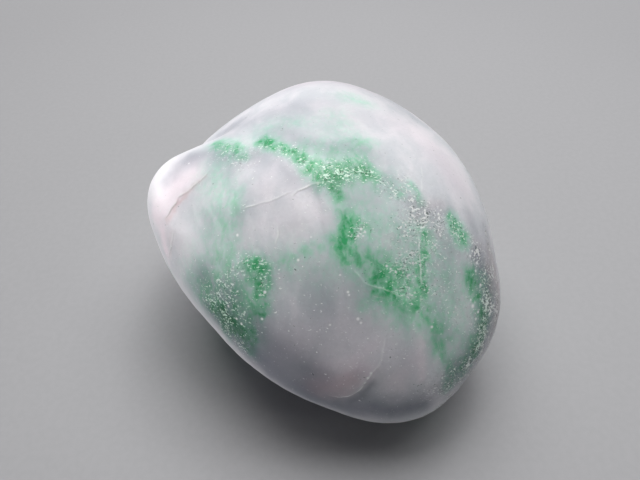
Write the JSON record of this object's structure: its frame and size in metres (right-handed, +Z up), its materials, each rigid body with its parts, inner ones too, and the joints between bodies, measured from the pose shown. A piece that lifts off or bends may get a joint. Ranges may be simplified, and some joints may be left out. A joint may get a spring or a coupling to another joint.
{
  "type": "raw jade stone",
  "caption": "Water-worn pebble of raw jadeite, pale with green veins and shallow chipped steps, for display or dressing a scene.",
  "frame": {"origin": "on the ground, under the middle of the stone's bounding box", "axes": "+Z up from the worn resting flat, +Y along the stone's longest side, -Y the side with the chipped steps"},
  "size_m": [0.039, 0.0444, 0.027],
  "materials": {
    "jade": "waxy, satin, slightly translucent, with grainy green veins and frosted patches"
  },
  "bodies": {
    "root": {"jade_stone": "jade"}
  },
  "joints": []
}
